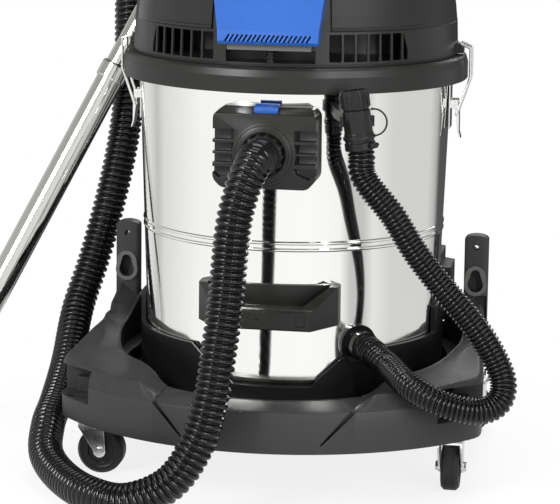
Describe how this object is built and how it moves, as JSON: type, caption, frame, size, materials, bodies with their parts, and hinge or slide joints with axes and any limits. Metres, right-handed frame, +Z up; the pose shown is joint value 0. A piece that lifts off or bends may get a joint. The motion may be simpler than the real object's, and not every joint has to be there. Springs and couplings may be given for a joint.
{
  "type": "wet and dry vacuum cleaner",
  "caption": "Upright wet and dry vacuum cleaner: bright steel drum on a caster trolley, latched motor head, ribbed suction hose with bent wand, and a capped drain hose.",
  "frame": {"origin": "where the drum's axis meets the floor that the casters stand on", "axes": "+Z up along the drum's axis, -Y towards the inlet and front handle, +X to the viewer's right from the front"},
  "size_m": [0.8982, 0.8121, 0.9258],
  "materials": {
    "grey_moulding": "fine-grained dark grey moulded plastic",
    "pocket_trim": "lighter grey moulded plastic",
    "stainless": "polished stainless steel sheet",
    "black_moulding": "satin black moulded plastic",
    "dark_moulding": "fine-grained charcoal moulded plastic",
    "smoke_cover": "smooth dark smoked plastic",
    "blue_moulding": "satin blue moulded plastic",
    "zinc_steel": "zinc-plated pressed steel",
    "bright_steel": "bright plated spring steel",
    "wheel_black": "black rubber tread on a plastic hub",
    "hose_black": "flexible black ribbed hose",
    "sleeve_black": "soft black rubber sleeve",
    "cap_grey": "dark grey ribbed screw cap",
    "tube_chrome": "chromed steel tube",
    "filter_felt": "off-white needle felt",
    "float_white": "pale hollow plastic ball",
    "motor_case": "grey motor casing",
    "seal_rubber": "black foam rubber seal"
  },
  "bodies": {
    "trolley": {"tray": "grey_moulding", "side_legs": "grey_moulding", "socket_bezels": "pocket_trim", "foot_collar": "black_moulding", "rear_block": "dark_moulding", "caster_plates": "zinc_steel", "caster_screws": "zinc_steel", "drum": "stainless", "ring_band": "dark_moulding", "inlet_plate": "dark_moulding", "inlet_deflector": "dark_moulding", "front_handle": "dark_moulding", "drain_elbow": "black_moulding", "drain_hose": "hose_black", "drain_clamp": "bright_steel", "drain_sleeve": "sleeve_black", "drain_tether": "sleeve_black", "drain_clip": "bright_steel", "main_hose": "hose_black", "wand_lower": "tube_chrome", "wand_upper": "tube_chrome", "hand_tube": "tube_chrome", "wand_collar": "black_moulding", "hand_cuff": "black_moulding", "latch_bases": "bright_steel"},
    "head": {"motor_plate": "dark_moulding", "head_skirt": "dark_moulding", "head_shell": "dark_moulding", "cover_left": "smoke_cover", "cover_right": "smoke_cover", "blue_hood": "blue_moulding", "grey_bar": "pocket_trim", "recess_stud": "bright_steel", "carry_handle": "dark_moulding", "motors": "motor_case", "gasket": "seal_rubber", "float_cage": "dark_moulding", "filter_cloth": "filter_felt", "filter_basket": "black_moulding", "cord_gland": "black_moulding"},
    "lever_l": {"latch_lever_l": "bright_steel"},
    "lever_r": {"latch_lever_r": "bright_steel"},
    "bail_l": {"latch_bail_l": "bright_steel"},
    "bail_r": {"latch_bail_r": "bright_steel"},
    "inlet_catch": {"inlet_tab": "blue_moulding"},
    "drain_plug": {"drain_cap": "cap_grey"},
    "switch_a": {"rocker_a": "black_moulding"},
    "switch_b": {"rocker_b": "black_moulding"},
    "impeller_a": {"fan_a": "motor_case"},
    "impeller_b": {"fan_b": "motor_case"},
    "float": {"float_ball": "float_white"},
    "hose_end": {"hose_cuff": "black_moulding"},
    "swivel_fl": {"fork_fl": "zinc_steel"},
    "swivel_fr": {"fork_fr": "zinc_steel"},
    "swivel_rl": {"fork_rl": "zinc_steel"},
    "swivel_rr": {"fork_rr": "zinc_steel"},
    "roll_fl": {"wheel_fl": "wheel_black"},
    "roll_fr": {"wheel_fr": "wheel_black"},
    "roll_rl": {"wheel_rl": "wheel_black"},
    "roll_rr": {"wheel_rr": "wheel_black"}
  },
  "joints": [
    {"name": "head_lift", "type": "slide", "parent": "trolley", "child": "head", "axis": [0, 0, 1], "range_m": [0, 0.17]},
    {"name": "latch_lever_l", "type": "hinge", "parent": "trolley", "child": "lever_l", "pos_m": [-0.2264, 0, 0.508], "axis": [0, 1, 0], "range_deg": [0, 140]},
    {"name": "latch_bail_l", "type": "hinge", "parent": "lever_l", "child": "bail_l", "pos_m": [-0.2299, 0, 0.494], "axis": [0, 1, 0], "range_deg": [-290, 0]},
    {"name": "latch_lever_r", "type": "hinge", "parent": "trolley", "child": "lever_r", "pos_m": [0.2264, 0, 0.508], "axis": [0, -1, 0], "range_deg": [0, 140]},
    {"name": "latch_bail_r", "type": "hinge", "parent": "lever_r", "child": "bail_r", "pos_m": [0.2299, 0, 0.494], "axis": [0, -1, 0], "range_deg": [-290, 0]},
    {"name": "inlet_catch_press", "type": "slide", "parent": "trolley", "child": "inlet_catch", "axis": [0, 0, -1], "range_m": [0, 0.003], "stiffness_N_per_m": 400, "springref_m": -0.002},
    {"name": "drain_cap_off", "type": "slide", "parent": "trolley", "child": "drain_plug", "axis": [-0.1392, 0, 0.9903], "range_m": [0, 0.03]},
    {"name": "switch_a_rock", "type": "hinge", "parent": "head", "child": "switch_a", "pos_m": [-0.03, -0.21636, 0.71757], "axis": [1, 0, 0], "range_deg": [0, 18]},
    {"name": "switch_b_rock", "type": "hinge", "parent": "head", "child": "switch_b", "pos_m": [0.03, -0.21636, 0.71757], "axis": [1, 0, 0], "range_deg": [0, 18]},
    {"name": "fan_a_spin", "type": "hinge", "parent": "head", "child": "impeller_a", "pos_m": [-0.092, 0, 0.6], "axis": [0, 0, 1], "continuous": true},
    {"name": "fan_b_spin", "type": "hinge", "parent": "head", "child": "impeller_b", "pos_m": [0.092, 0, 0.6], "axis": [0, 0, 1], "continuous": true},
    {"name": "float_rise", "type": "slide", "parent": "head", "child": "float", "axis": [0, 0, 1], "range_m": [0, 0.027]},
    {"name": "hose_swivel", "type": "hinge", "parent": "trolley", "child": "hose_end", "pos_m": [0, -0.27, 0.466], "axis": [0, -1, 0], "continuous": true},
    {"name": "caster_fl_swivel", "type": "hinge", "parent": "trolley", "child": "swivel_fl", "pos_m": [-0.248, -0.182, 0.07], "axis": [0, 0, 1], "continuous": true},
    {"name": "caster_fl_roll", "type": "hinge", "parent": "swivel_fl", "child": "roll_fl", "pos_m": [-0.236, -0.182, 0.0325], "axis": [0, 1, 0], "continuous": true},
    {"name": "caster_fr_swivel", "type": "hinge", "parent": "trolley", "child": "swivel_fr", "pos_m": [0.248, -0.182, 0.07], "axis": [0, 0, 1], "continuous": true},
    {"name": "caster_fr_roll", "type": "hinge", "parent": "swivel_fr", "child": "roll_fr", "pos_m": [0.248, -0.17, 0.0325], "axis": [-1, 0, 0], "continuous": true},
    {"name": "caster_rl_swivel", "type": "hinge", "parent": "trolley", "child": "swivel_rl", "pos_m": [-0.248, 0.13, 0.07], "axis": [0, 0, 1], "continuous": true},
    {"name": "caster_rl_roll", "type": "hinge", "parent": "swivel_rl", "child": "roll_rl", "pos_m": [-0.248, 0.142, 0.0325], "axis": [-1, 0, 0], "continuous": true},
    {"name": "caster_rr_swivel", "type": "hinge", "parent": "trolley", "child": "swivel_rr", "pos_m": [0.248, 0.13, 0.07], "axis": [0, 0, 1], "continuous": true},
    {"name": "caster_rr_roll", "type": "hinge", "parent": "swivel_rr", "child": "roll_rr", "pos_m": [0.254, 0.14039, 0.0325], "axis": [-0.866, 0.5, 0], "continuous": true}
  ],
  "couplings": [
    {"joint": "latch_lever_l", "follows": "head_lift", "rad_per_m": 14.373},
    {"joint": "latch_bail_l", "follows": "head_lift", "rad_per_m": -29.773},
    {"joint": "latch_lever_r", "follows": "head_lift", "rad_per_m": 14.373},
    {"joint": "latch_bail_r", "follows": "head_lift", "rad_per_m": -29.773}
  ]
}
